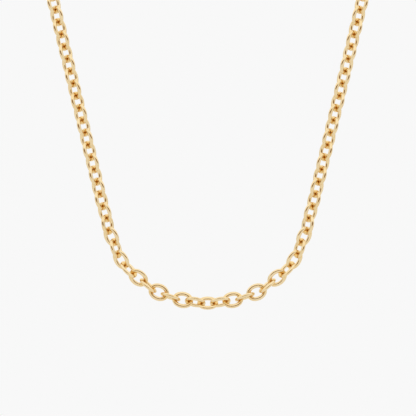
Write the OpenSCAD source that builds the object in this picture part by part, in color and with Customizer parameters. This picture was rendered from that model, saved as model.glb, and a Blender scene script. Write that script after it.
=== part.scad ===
// Link chain necklace: oval links of slightly flattened wire in one closed loop.
// It has the form that it takes when worn, with a plain barrel clasp at the nape.
// Millimetres. +X is the viewer's right, +Y runs from the front to the nape, +Z is up.
// The origin is the middle of the clasp.

/* [Links] */
// Distance from one link to the next along the chain
pitch = 3; // [2.9:0.05:3.05]
// Width of the flattened wire, seen square to the link
wire_w = 0.96; // [0.88:0.02:0.96]
// Thickness of the flattened wire, through the link
wire_t = 0.78; // [0.7:0.02:0.78]
// Outer width of a link across the chain
link_w = 4.06; // [4.06:0.02:4.4]
// Free play between two linked ends
play = 0.16; // [0.16:0.01:0.21]
// Number of links on each side of the centre link
side_links = 73; // [67:2:79]

/* [Worn form] */
// Slope of the straight sides, in degrees above level
side_slope = 76.4; // [75:0.1:78]
// Height of the chain that hangs flat, from the centre link to the shoulder bend
drop = 80; // [76:1:86]
// Radius of the bend over the shoulders
shoulder_r = 30; // [26:1:34]
// Angle of the bend over the shoulders, in degrees
shoulder_turn = 75; // [70:1:80]

/* [Clasp] */
// Distance between the clasp's two joints with the chain
clasp_span = 9; // [8.6:0.1:12]
// Diameter of the clasp's barrel
barrel_d = 3; // [2.6:0.1:3.4]
// Width of the chamfer round each end of the barrel
barrel_chamfer = 0.5; // [0.3:0.05:0.8]
// Outer diameter of the eye at each end of the clasp
eye_d = 3.2; // [3.15:0.05:3.4]
// Thickness of the eyes' round wire
eye_wire_d = 0.88; // [0.8:0.02:0.88]

/* [Hidden] */
gold = "#dcb06a";
barrel_facets = 64;
wire_facets = 32;

// The front links hang as the loose chain settles, the same on both sides.
// FRONT has a row for each link, from the centre link outwards.
// LEAN is its slope above level, and TURN its turn about its own length, in degrees.
// At a turn of 0 the link lies flat to the front, and at 90 it is seen edge on.
// A turn between the two brings the wire inside the loop nearer to the viewer.
LEAN = 0;
TURN = 1;
FRONT = [
    [0, -46],
    [10, 57],
    [9, -21],
    [19.5, 79],
    [23.5, 2],
    [40, 100],
    [37, 23],
    [45, 118],
    [59, 36],
    [73, 121],
    [64, 36],
    [81.5, 129],
    [72.5, 44],
];
last_front = len(FRONT) - 1;
// Turns of the even and odd links in the rest of the chain
SIDE_TURNS = [44, 132];

// A link's oval centreline has ten straight stretches, one of them across each end.
// oval_a and oval_b are its half length and half width at the corners' circle.
link_steps = 10;
half_step = 180 / link_steps;
oval_a = (pitch + play + wire_w) / 2 / cos(half_step);
oval_b = (link_w - wire_w) / 2;
// The wire is five-sided, with a flat inside the link. Its corners lie at this share of
// the wire's width and thickness, which gives it about the area of the rounded wire.
wire_sides = 5;
corner_share = 0.57;
wire_corner_w = wire_w * corner_share;
wire_corner_t = wire_t * corner_share;

// The loop laid flat, as [across, up]: front links, straight sides, round of the neck
function front_joint(k) =
    k == 0 ? [pitch / 2, 0]
    : front_joint(k - 1) + pitch * [cos(FRONT[k][LEAN]), sin(FRONT[k][LEAN])];
side_start = front_joint(last_front);
half_loop = ((2 * side_links + 1) * pitch + clasp_span) / 2;
neck_turn = (180 - side_slope) * PI / 180;
side_len = (half_loop - (last_front + 0.5) * pitch - neck_turn * side_start[0] / sin(side_slope))
    / (1 + neck_turn / tan(side_slope));
side_end = side_start + side_len * [cos(side_slope), sin(side_slope)];
neck_r = side_end[0] / sin(side_slope);
neck_mid = [0, side_end[1] + neck_r * cos(side_slope)];

// How far the middle of a link lies past the start of the straight side
function run(k) = (k - last_front - 0.5) * pitch;
function slope(k) =
    k <= last_front ? FRONT[k][LEAN]
    : side_slope + max(0, run(k) - side_len) / neck_r * 180 / PI;
function turn(k) = k <= last_front ? FRONT[k][TURN] : SIDE_TURNS[k % 2];
function flat_mid(k) =
    k == 0 ? [0, 0]
    : k <= last_front ? (front_joint(k - 1) + front_joint(k)) / 2
    : run(k) <= side_len ? side_start + run(k) * [cos(side_slope), sin(side_slope)]
    : neck_mid + neck_r * [sin(slope(k)), -cos(slope(k))];

// The flat loop bent over the shoulders: bend is the angle reached at a height up it
bend_len = shoulder_r * shoulder_turn * PI / 180;
function bend(up) = max(0, min(1, (up - drop) / bend_len)) * shoulder_turn;
function up_axis(up) = [0, sin(bend(up)), cos(bend(up))];
function out_axis(up) = [0, -cos(bend(up)), sin(bend(up))];
function worn(p) =
    [p[0], 0, min(p[1], drop)]
    + shoulder_r * [0, 1 - cos(bend(p[1])), sin(bend(p[1]))]
    + max(0, p[1] - drop - bend_len) * up_axis(p[1]);

// A link's middle, and its axes along the chain, across it and through it
function along(k) =
    let (s = slope(k), up = flat_mid(k)[1])
    [cos(s), 0, 0] + sin(s) * up_axis(up);
function across(k) =
    let (s = slope(k), t = turn(k), up = flat_mid(k)[1])
    cos(t) * ([-sin(s), 0, 0] + cos(s) * up_axis(up)) + sin(t) * out_axis(up);
function link_points(k) =
    let (mid = worn(flat_mid(k)), u = along(k), v = across(k), w = cross(u, v))
    [
        for (i = [0 : link_steps - 1])
        let (
            a = 2 * half_step * i + half_step,
            out = [oval_b * cos(a), oval_a * sin(a)] / norm([oval_b * cos(a), oval_a * sin(a)])
        )
        for (j = [0 : wire_sides - 1])
        let (
            b = 360 * j / wire_sides,
            side = wire_corner_w * cos(b)
        )
        mid
            + (oval_a * cos(a) + side * out[0]) * u
            + (oval_b * sin(a) + side * out[1]) * v
            + wire_corner_t * sin(b) * w
    ];
function link_faces(first) =
    [
        for (i = [0 : link_steps - 1])
        for (j = [0 : wire_sides - 1])
        let (
            i2 = (i + 1) % link_steps,
            j2 = (j + 1) % wire_sides,
            p00 = first + i * wire_sides + j,
            p01 = first + i * wire_sides + j2,
            p10 = first + i2 * wire_sides + j,
            p11 = first + i2 * wire_sides + j2
        )
        each [[p00, p01, p11], [p00, p11, p10]]
    ];

// The clasp lies between the last links, level with their outer joints
nape = let (p = worn(flat_mid(side_links)) + pitch / 2 * along(side_links)) [0, p[1], p[2]];
eye_ring_r = (eye_d - eye_wire_d) / 2;
eye_mid = clasp_span / 2 + (eye_wire_d + play) / 2 - eye_ring_r;
// The middle of each eye's wire is let into the end of the barrel by this much
eye_inset = 0.15;
barrel_half = eye_mid - eye_ring_r + eye_inset;
clasp_roll = 180 - shoulder_turn - turn(side_links);

module strand(first, last) {
    translate(-nape)
        polyhedron(
            points = [for (k = [first : last]) each link_points(k)],
            faces = [for (n = [0 : last - first]) each link_faces(n * link_steps * wire_sides)]
        );
}

module chain_right() {
    color(gold)
        strand(0, side_links);
}

module chain_left() {
    color(gold)
        mirror([1, 0, 0])
            strand(1, side_links);
}

module barrel() {
    rotate([0, 90, 0]) {
        cylinder(h = 2 * (barrel_half - barrel_chamfer), d = barrel_d, center = true, $fn = barrel_facets);
        for (end = [0, 1])
            mirror([0, 0, end])
                translate([0, 0, barrel_half - barrel_chamfer])
                    cylinder(
                        h = barrel_chamfer,
                        r1 = barrel_d / 2,
                        r2 = barrel_d / 2 - barrel_chamfer,
                        $fn = barrel_facets
                    );
    }
}

module clasp() {
    color(gold)
        rotate([clasp_roll, 0, 0]) {
            barrel();
            for (end = [-1, 1])
                translate([end * eye_mid, 0, 0])
                    rotate_extrude($fn = barrel_facets)
                        translate([eye_ring_r, 0])
                            circle(d = eye_wire_d, $fn = wire_facets);
        }
}

chain_right();
chain_left();
clasp();
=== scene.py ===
"""The looks of a link chain necklace, hanging as it does when worn.

Metres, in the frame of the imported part: +X is the viewer's right, +Y runs from the
front to the nape, +Z is up, and the origin is the middle of the clasp.
"""
import random
from functools import cache
from math import atan2, copysign, cos, degrees, hypot, pi, radians, sin, tan

import bmesh
import bpy
from mathutils import Matrix, Vector


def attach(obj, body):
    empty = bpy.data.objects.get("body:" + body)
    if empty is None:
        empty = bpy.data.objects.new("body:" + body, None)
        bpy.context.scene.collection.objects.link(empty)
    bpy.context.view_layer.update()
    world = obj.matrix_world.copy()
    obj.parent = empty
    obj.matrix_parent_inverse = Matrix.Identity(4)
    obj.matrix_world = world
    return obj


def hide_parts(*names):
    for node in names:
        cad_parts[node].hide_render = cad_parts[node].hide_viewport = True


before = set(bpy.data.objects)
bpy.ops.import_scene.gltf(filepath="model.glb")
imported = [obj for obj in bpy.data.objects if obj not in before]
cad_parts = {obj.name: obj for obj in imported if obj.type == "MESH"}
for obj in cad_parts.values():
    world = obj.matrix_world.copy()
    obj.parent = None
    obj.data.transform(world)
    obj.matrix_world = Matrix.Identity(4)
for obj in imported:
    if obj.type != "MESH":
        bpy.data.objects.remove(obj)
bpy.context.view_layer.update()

MM = 0.001

# Links
PITCH = 3 * MM
WIRE_W = 1 * MM
WIRE_T = 0.8 * MM
LINK_W = 4.06 * MM
SIDE_LINKS = 73

# Worn form
SIDE_SLOPE = 76.4
DROP = 80 * MM
SHOULDER_R = 30 * MM
SHOULDER_TURN = 75

# Clasp
CLASP_SPAN = 9 * MM
BARREL_D = 3 * MM
BARREL_ROUND = 0.5 * MM
EYE_D = 3.2 * MM
EYE_WIRE_D = 0.88 * MM
EYE_INSET = 0.15 * MM

# Each front link's slope above level and its turn about its own length, in degrees,
# from the centre link outwards
FRONT = (
    (0, -46),
    (10, 57),
    (9, -21),
    (19.5, 79),
    (23.5, 2),
    (40, 100),
    (37, 23),
    (45, 118),
    (59, 36),
    (73, 121),
    (64, 36),
    (81.5, 129),
    (72.5, 44),
)
LAST_FRONT = len(FRONT) - 1
SIDE_TURNS = (44, 132)

# The photograph's frame, in its own pixels
PHOTO_SIZE = 416
PHOTO_MIDDLE_X = 207.7
PHOTO_CENTRE_LINK_Y = 303.1
PIXEL = 0.2375 * MM


def slope_vector(slope):
    """A step of length one up a slope in the loop laid flat, as (across, up)."""
    return Vector((cos(radians(slope)), sin(radians(slope))))


@cache
def front_joint(k):
    """Where front link k meets the next one, in the loop laid flat."""
    if k == 0:
        return Vector((PITCH / 2, 0))
    return front_joint(k - 1) + PITCH * slope_vector(FRONT[k][0])


SIDE_START = front_joint(LAST_FRONT)
HALF_LOOP = ((2 * SIDE_LINKS + 1) * PITCH + CLASP_SPAN) / 2
NECK_TURN = radians(180 - SIDE_SLOPE)
SIDE_SIN = sin(radians(SIDE_SLOPE))
SIDE_LEN = (
    (HALF_LOOP - (LAST_FRONT + 0.5) * PITCH - NECK_TURN * SIDE_START.x / SIDE_SIN)
    / (1 + NECK_TURN / tan(radians(SIDE_SLOPE)))
)
SIDE_END = SIDE_START + SIDE_LEN * slope_vector(SIDE_SLOPE)
NECK_R = SIDE_END.x / SIDE_SIN
NECK_MID = Vector((0, SIDE_END.y + NECK_R * cos(radians(SIDE_SLOPE))))
BEND_LEN = SHOULDER_R * radians(SHOULDER_TURN)


def run(k):
    """How far the middle of link k lies past the start of the straight side."""
    return (k - LAST_FRONT - 0.5) * PITCH


def slope(k):
    """The slope of link k above level in the loop laid flat, in degrees."""
    if k <= LAST_FRONT:
        return FRONT[k][0]
    return SIDE_SLOPE + degrees(max(0, run(k) - SIDE_LEN) / NECK_R)


def turn(k):
    """The turn of link k about its own length, in degrees."""
    return FRONT[k][1] if k <= LAST_FRONT else SIDE_TURNS[k % 2]


def flat_mid(k):
    """The middle of link k in the loop laid flat."""
    if k == 0:
        return Vector((0, 0))
    if k <= LAST_FRONT:
        return (front_joint(k - 1) + front_joint(k)) / 2
    if run(k) <= SIDE_LEN:
        return SIDE_START + run(k) * slope_vector(SIDE_SLOPE)
    return NECK_MID + NECK_R * slope_vector(slope(k) - 90)


def bend(up):
    """The angle that the loop has bent back at a height up it, in radians."""
    return max(0, min(1, (up - DROP) / BEND_LEN)) * radians(SHOULDER_TURN)


def worn(flat):
    """A point of the flat loop in its worn place, from the centre link."""
    angle = bend(flat.y)
    past = max(0, flat.y - DROP - BEND_LEN)
    return Vector((
        flat.x,
        SHOULDER_R * (1 - cos(angle)) + past * sin(angle),
        min(flat.y, DROP) + SHOULDER_R * sin(angle) + past * cos(angle),
    ))


def link_axes(k):
    """The axes of link k along the chain, across the link and through it."""
    angle = bend(flat_mid(k).y)
    up_axis = Vector((0, sin(angle), cos(angle)))
    out_axis = Vector((0, -cos(angle), sin(angle)))
    step = slope_vector(slope(k))
    along = Vector((step.x, 0, 0)) + step.y * up_axis
    inward = Vector((-step.y, 0, 0)) + step.x * up_axis
    twist = radians(turn(k))
    across = cos(twist) * inward + sin(twist) * out_axis
    return along, across, along.cross(across)


LAST_JOINT = worn(flat_mid(SIDE_LINKS)) + PITCH / 2 * link_axes(SIDE_LINKS)[0]
NAPE = Vector((0, LAST_JOINT.y, LAST_JOINT.z))


def link_place(k, side):
    """The matrix that puts a link made round the origin in its place on one side."""
    along, across, _ = link_axes(k)
    place = worn(flat_mid(k)) - NAPE
    for axis in (along, across, place):
        axis.x *= side
    through = along.cross(across)
    turned = Matrix((along, across, through)).transposed().to_4x4()
    return Matrix.Translation(place) @ turned


# Pieces

def spline_share(corners):
    """How far out a smoothed ring lies, as a share of its cage with that many corners."""
    return (4 + 2 * cos(2 * pi / corners)) / 6


# A link is smoothed from a cage of a few faces, which is larger by what smoothing takes off.
# OVAL_A and OVAL_B are half the length and half the width of its centreline.
WIRE_SIDES = 6
LINK_STEPS = 12
SMOOTHING = 2
SQUARED = 0.97
CAGE_WIRE_W = WIRE_W / spline_share(WIRE_SIDES) / spline_share(LINK_STEPS)
CAGE_WIRE_T = WIRE_T / spline_share(WIRE_SIDES)
OVAL_A = (PITCH + WIRE_W) / 2
OVAL_B = (LINK_W - WIRE_W) / 2

BARREL_FACETS = 48
RIM_SEGMENTS = 6
EYE_STEPS = 40
EYE_WIRE_SIDES = 20


def ring_of_wire(bm, middle_x, ring_r, wire_r, steps, sides):
    """A round wire spun into a flat ring, with its middle on the X axis."""
    section = bmesh.ops.create_circle(bm, segments=sides, radius=wire_r)["verts"]
    upright = Matrix.Rotation(pi / 2, 3, "X")
    bmesh.ops.rotate(bm, verts=section, cent=(0, 0, 0), matrix=upright)
    bmesh.ops.translate(bm, verts=section, vec=(middle_x + ring_r, 0, 0))
    edges = list({e for v in section for e in v.link_edges})
    bmesh.ops.spin(
        bm,
        geom=section + edges,
        cent=(middle_x, 0, 0),
        axis=(0, 0, 1),
        dvec=(0, 0, 0),
        angle=2 * pi,
        steps=steps,
        use_merge=True,
        use_duplicate=False,
    )


def squared(share):
    """A share of an ellipse's width or length, eased out a little between its four ends."""
    return copysign(abs(share) ** SQUARED, share)


def joint_shade(angle, inside):
    """How much painted shade a place on a link gets where the next link passes through: most
    inside the ends, on both sides of their middle.

    Inside goes from -1 on the outer side of the link to 1 on its inner side.
    """
    near_end = cos(angle) ** 6 * (0.7 + sin(2 * angle) ** 2)
    return max(0, min(1, near_end * (0.8 + 0.8 * inside)))


def link_cage():
    """One link round the origin, along X: a ring of wire, flattened and eased into an oval."""
    bm = bmesh.new()
    ring_of_wire(bm, 0, OVAL_B, CAGE_WIRE_W / 2, LINK_STEPS, WIRE_SIDES)
    bmesh.ops.remove_doubles(bm, verts=bm.verts, dist=WIRE_W / 100)
    bmesh.ops.scale(bm, vec=(1, 1, CAGE_WIRE_T / CAGE_WIRE_W), verts=bm.verts)
    joint = bm.verts.layers.float.new("joint")
    out = 1 / spline_share(LINK_STEPS)
    for v in bm.verts:
        angle = atan2(v.co.y, v.co.x)
        inside = (OVAL_B - hypot(v.co.x, v.co.y)) / (CAGE_WIRE_W / 2)
        v.co.x += OVAL_A * out * squared(cos(angle)) - OVAL_B * cos(angle)
        v.co.y += OVAL_B * out * squared(sin(angle)) - OVAL_B * sin(angle)
        # painted shade inside the link ends, where the links meet
        v[joint] = joint_shade(angle, inside)
    bmesh.ops.recalc_face_normals(bm, faces=bm.faces)
    mesh = bpy.data.meshes.new("link")
    bm.to_mesh(mesh)
    bm.free()
    return mesh


def finished(bm, name, material, node, smoothing):
    """Makes a finished piece, which rides on the body and stands for one CAD node."""
    for face in bm.faces:
        face.smooth = True
    mesh = bpy.data.meshes.new(name)
    bm.to_mesh(mesh)
    bm.free()
    mesh.materials.append(material)
    piece = bpy.data.objects.new(name, mesh)
    bpy.context.scene.collection.objects.link(piece)
    if smoothing:
        smooth = piece.modifiers.new("smooth", "SUBSURF")
        smooth.levels = smoothing
        smooth.render_levels = smoothing
    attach(piece, "root")
    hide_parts(node)


def make_strand(name, first, side, link, material):
    """The links of one side of the necklace, each with a shade of its own, as one mesh."""
    bm = bmesh.new()
    tone = bm.verts.layers.float.new("tone")
    chance = random.Random(name)
    for k in range(first, SIDE_LINKS + 1):
        before = len(bm.verts)
        bm.from_mesh(link)
        bm.verts.ensure_lookup_table()
        fresh = bm.verts[before:]
        bmesh.ops.transform(bm, matrix=link_place(k, side), verts=fresh)
        shade = chance.uniform(-1, 1)
        for v in fresh:
            v[tone] = shade
    finished(bm, name, material, name, SMOOTHING)


def make_clasp(material):
    """The plain barrel with an eye at each end."""
    bm = bmesh.new()
    eye_ring_r = (EYE_D - EYE_WIRE_D) / 2
    eye_mid = (CLASP_SPAN + EYE_WIRE_D) / 2 - eye_ring_r
    barrel_half = eye_mid - eye_ring_r + EYE_INSET
    bmesh.ops.create_cone(
        bm,
        cap_ends=True,
        segments=BARREL_FACETS,
        radius1=BARREL_D / 2,
        radius2=BARREL_D / 2,
        depth=2 * barrel_half,
        matrix=Matrix.Rotation(pi / 2, 4, "Y"),
    )
    rims = [e for e in bm.edges if any(len(f.verts) == BARREL_FACETS for f in e.link_faces)]
    bmesh.ops.bevel(
        bm,
        geom=rims,
        offset=BARREL_ROUND,
        offset_type="OFFSET",
        segments=RIM_SEGMENTS,
        profile=0.5,
        affect="EDGES",
        material=-1,
        clamp_overlap=True,
    )
    for end in (-1, 1):
        ring_of_wire(bm, end * eye_mid, eye_ring_r, EYE_WIRE_D / 2, EYE_STEPS, EYE_WIRE_SIDES)
    bmesh.ops.remove_doubles(bm, verts=bm.verts, dist=EYE_WIRE_D / 1000)
    roll = Matrix.Rotation(pi - radians(SHOULDER_TURN + turn(SIDE_LINKS)), 3, "X")
    bmesh.ops.rotate(bm, verts=bm.verts, cent=(0, 0, 0), matrix=roll)
    bmesh.ops.recalc_face_normals(bm, faces=bm.faces)
    finished(bm, "clasp_barrel", material, "clasp", 0)


# Node helpers: each one returns the socket that holds its result

def new_node(tree, kind, **values):
    """A new node with some of its settings. This one returns the node."""
    node = tree.nodes.new(kind)
    for name, value in values.items():
        setattr(node, name, value)
    return node


def noise(tree, scale, detail):
    """A noise in the piece's own metres."""
    where = new_node(tree, "ShaderNodeTexCoord")
    node = new_node(tree, "ShaderNodeTexNoise")
    node.inputs["Scale"].default_value = scale
    node.inputs["Detail"].default_value = detail
    tree.links.new(where.outputs["Object"], node.inputs["Vector"])
    return node.outputs["Fac"]


def fitted(tree, value, low, high, to_low, to_high):
    """A value moved from the range low to high into another, and kept inside it."""
    node = new_node(tree, "ShaderNodeMapRange")
    node.inputs["From Min"].default_value = low
    node.inputs["From Max"].default_value = high
    node.inputs["To Min"].default_value = to_low
    node.inputs["To Max"].default_value = to_high
    tree.links.new(value, node.inputs["Value"])
    return node.outputs["Result"]


def times_plus(tree, value, factor, added, kept_in=False):
    """A value times a factor, plus another value, kept between 0 and 1 if asked."""
    node = new_node(tree, "ShaderNodeMath", operation="MULTIPLY_ADD", use_clamp=kept_in)
    node.inputs[1].default_value = factor
    tree.links.new(value, node.inputs[0])
    tree.links.new(added, node.inputs[2])
    return node.outputs[0]


def mixed(tree, share, first, second):
    """Two colours mixed by a share. Each colour is a socket or a plain colour."""
    node = new_node(tree, "ShaderNodeMix", data_type="RGBA")
    tree.links.new(share, node.inputs["Factor"])
    for place, colour in ((6, first), (7, second)):
        if isinstance(colour, tuple):
            node.inputs[place].default_value = colour
        else:
            tree.links.new(colour, node.inputs[place])
    return node.outputs[2]


def grey_ramp(tree, value, stops):
    """A ramp of greys along a value, given as places and levels."""
    node = new_node(tree, "ShaderNodeValToRGB")
    elements = node.color_ramp.elements
    elements[0].position = stops[0][0]
    elements[1].position = stops[-1][0]
    for place, _ in stops[1:-1]:
        elements.new(place)
    for element, (_, level) in zip(elements, stops):
        element.color = (level, level, level, 1)
    tree.links.new(value, node.inputs["Fac"])
    return node.outputs["Color"]


# Materials

PALE_GOLD = (0.87, 0.7, 0.42, 1)
# Deep gold is the metal's darker tone, and in the joints it is painted shade
DEEP_GOLD = (0.76, 0.46, 0.1, 1)
EDGE_GOLD = (1, 0.9, 0.7, 1)
CHAIN_GLOSS = 0.12
CLASP_GLOSS = 0.14
HAIRLINE_DEPTH = 0.004 * MM


def gold_detail_group():
    """Mottling, hairlines and painted shade in the joints, shared by the chain and the clasp.
    """
    group = bpy.data.node_groups.new("polished gold detail", "ShaderNodeTree")
    for name, kind, value in (
        ("Tone", "NodeSocketFloat", 0),
        ("Joint", "NodeSocketFloat", 0),
        ("Pale Gold", "NodeSocketColor", PALE_GOLD),
        ("Deep Gold", "NodeSocketColor", DEEP_GOLD),
        ("Gloss Roughness", "NodeSocketFloat", CHAIN_GLOSS),
    ):
        socket = group.interface.new_socket(name, in_out="INPUT", socket_type=kind)
        socket.default_value = value
    for name, kind in (
        ("Color", "NodeSocketColor"),
        ("Roughness", "NodeSocketFloat"),
        ("Height", "NodeSocketFloat"),
    ):
        group.interface.new_socket(name, in_out="OUTPUT", socket_type=kind)
    given = new_node(group, "NodeGroupInput").outputs
    result = new_node(group, "NodeGroupOutput").inputs
    mottle = noise(group, scale=700, detail=2)
    hairs = noise(group, scale=6000, detail=3)

    # The deep colour grows with the mottling, a darker link and the painted shade in the
    # joints
    mottled = fitted(group, mottle, 0.35, 0.65, 0, 0.1)
    toned = times_plus(group, given["Tone"], 0.08, mottled)
    deep_share = times_plus(group, given["Joint"], 0.95, toned, kept_in=True)
    colour = mixed(group, deep_share, given["Pale Gold"], given["Deep Gold"])

    # The gloss is lower in the hairlines and where links rub
    dull = fitted(group, hairs, 0.3, 0.7, -0.03, 0.05)
    polished = times_plus(group, given["Gloss Roughness"], 1, dull)
    rubbed = times_plus(group, given["Joint"], 0.08, polished, kept_in=True)

    group.links.new(colour, result["Color"])
    group.links.new(rubbed, result["Roughness"])
    group.links.new(hairs, result["Height"])
    return group


def gold(name, detail, from_attributes, gloss_roughness):
    """A polished gold plated metal."""
    material = bpy.data.materials.new(name)
    material.use_nodes = True
    tree = material.node_tree
    shader = tree.nodes["Principled BSDF"]
    shader.inputs["Metallic"].default_value = 1
    shader.inputs["Specular Tint"].default_value = EDGE_GOLD
    use = new_node(tree, "ShaderNodeGroup", node_tree=detail)
    use.inputs["Gloss Roughness"].default_value = gloss_roughness
    for attribute, socket in from_attributes:
        read = new_node(tree, "ShaderNodeAttribute", attribute_name=attribute)
        tree.links.new(read.outputs["Fac"], use.inputs[socket])
    bump = new_node(tree, "ShaderNodeBump")
    bump.inputs["Strength"].default_value = 0.15
    bump.inputs["Distance"].default_value = HAIRLINE_DEPTH
    tree.links.new(use.outputs["Height"], bump.inputs["Height"])
    tree.links.new(use.outputs["Color"], shader.inputs["Base Color"])
    tree.links.new(use.outputs["Roughness"], shader.inputs["Roughness"])
    tree.links.new(bump.outputs["Normal"], shader.inputs["Normal"])
    return material


def floor_paint():
    """A pale matt paint, with a faint cloudiness in its colour and gloss."""
    material = bpy.data.materials.new("floor paint")
    material.use_nodes = True
    tree = material.node_tree
    shader = tree.nodes["Principled BSDF"]
    cloud = noise(tree, scale=4, detail=4)
    colour = mixed(tree, cloud, (0.85, 0.85, 0.85, 1), (0.87, 0.87, 0.87, 1))
    rough = fitted(tree, cloud, 0, 1, 0.85, 0.95)
    tree.links.new(colour, shader.inputs["Base Color"])
    tree.links.new(rough, shader.inputs["Roughness"])
    return material


detail = gold_detail_group()
chain_gold = gold("chain gold", detail, (("tone", "Tone"), ("joint", "Joint")), CHAIN_GLOSS)
clasp_gold = gold("clasp gold", detail, (), CLASP_GLOSS)

link_mesh = link_cage()
make_strand("chain_right", 0, 1, link_mesh, chain_gold)
make_strand("chain_left", 1, -1, link_mesh, chain_gold)
make_clasp(clasp_gold)


# Camera, floor and light

LENS = 200
SENSOR_W = 36
FLOOR_R = 1.5
FLOOR_DROP = 0.2

# Levels of the studio's white, from straight below to straight above
WHITE_BY_HEIGHT = (
    (0, 0.8),
    (0.05, 0.6),
    (0.14, 0.7),
    (0.2, 1.25),
    (0.35, 1.05),
    (0.46, 0.9),
    (0.56, 0.79),
    (0.72, 1.15),
    (1, 1.1),
)

# The dark stretch round the camera: its middle, how fast it ends across and upwards,
# how it fades from its middle to its edge, and how far round to the side it reaches
DARK_MIDDLE = (0, 0, 0.18)
DARK_FALL = (1.4, 0, 3.4)
DARK_FADE = ((0, 1), (0.75, 1), (1, 0))
DARK_DEPTH = -0.2
DARK_BROWN = (0.26, 0.12, 0.03, 1)
BACKDROP_WHITE = (0.939, 0.939, 0.939, 1)


def make_camera():
    """Level, square to the front of the necklace, and framed as the photograph is."""
    data = bpy.data.cameras.new("camera")
    data.lens = LENS
    data.sensor_width = SENSOR_W
    camera = bpy.data.objects.new("camera", data)
    bpy.context.scene.collection.objects.link(camera)
    distance = PHOTO_SIZE * PIXEL * LENS / SENSOR_W
    camera.location = (
        (PHOTO_SIZE / 2 - PHOTO_MIDDLE_X) * PIXEL,
        -NAPE.y - distance,
        -NAPE.z + (PHOTO_CENTRE_LINK_Y - PHOTO_SIZE / 2) * PIXEL,
    )
    camera.rotation_euler = (pi / 2, 0, 0)
    data.clip_start = distance / 100
    data.clip_end = distance * 100
    bpy.context.scene.camera = camera
    return camera


def make_floor(camera):
    """A plain pale floor, below what the camera sees."""
    bm = bmesh.new()
    bmesh.ops.create_circle(bm, cap_ends=True, segments=96, radius=FLOOR_R)
    bmesh.ops.translate(bm, verts=bm.verts, vec=(0, 0, camera.location.z - FLOOR_DROP))
    mesh = bpy.data.meshes.new("floor")
    bm.to_mesh(mesh)
    bm.free()
    mesh.materials.append(floor_paint())
    floor = bpy.data.objects.new("floor", mesh)
    bpy.context.scene.collection.objects.link(floor)


def vector_step(tree, operation, vector, amount=(0, 0, 0)):
    """A step of vector arithmetic, which returns its node."""
    node = new_node(tree, "ShaderNodeVectorMath", operation=operation)
    tree.links.new(vector, node.inputs[0])
    node.inputs[1].default_value = amount
    return node


def make_surroundings():
    """A white studio, bright above, with a warm darker stretch round the camera."""
    world = bpy.data.worlds.new("studio")
    bpy.context.scene.world = world
    world.use_nodes = True
    tree = world.node_tree
    tree.nodes.clear()
    link = tree.links.new
    direction = new_node(tree, "ShaderNodeTexCoord").outputs["Generated"]
    part = new_node(tree, "ShaderNodeSeparateXYZ")
    link(direction, part.inputs[0])
    height = fitted(tree, part.outputs["Z"], -1, 1, 0, 1)
    white = grey_ramp(tree, height, WHITE_BY_HEIGHT)

    # How far a direction is from the middle of the dark stretch, as a share of its size
    from_middle = vector_step(tree, "SUBTRACT", direction, DARK_MIDDLE)
    shared = vector_step(tree, "MULTIPLY", from_middle.outputs[0], DARK_FALL)
    far = vector_step(tree, "LENGTH", shared.outputs[0])
    near_camera = grey_ramp(tree, far.outputs["Value"], DARK_FADE)
    front = fitted(tree, part.outputs["Y"], 0, DARK_DEPTH, 0, 1)
    dark = new_node(tree, "ShaderNodeMath", operation="MULTIPLY")
    link(near_camera, dark.inputs[0])
    link(front, dark.inputs[1])

    # The camera sees a plain white backdrop, and the metal reflects the room
    light = new_node(tree, "ShaderNodeBackground")
    link(mixed(tree, dark.outputs[0], white, DARK_BROWN), light.inputs["Color"])
    seen = new_node(tree, "ShaderNodeBackground")
    seen.inputs["Color"].default_value = BACKDROP_WHITE
    path = new_node(tree, "ShaderNodeLightPath")
    mix = new_node(tree, "ShaderNodeMixShader")
    link(path.outputs["Is Camera Ray"], mix.inputs["Fac"])
    link(light.outputs[0], mix.inputs[1])
    link(seen.outputs[0], mix.inputs[2])
    out = new_node(tree, "ShaderNodeOutputWorld")
    link(mix.outputs[0], out.inputs["Surface"])


bpy.context.scene.view_settings.view_transform = "Standard"
make_floor(make_camera())
make_surroundings()
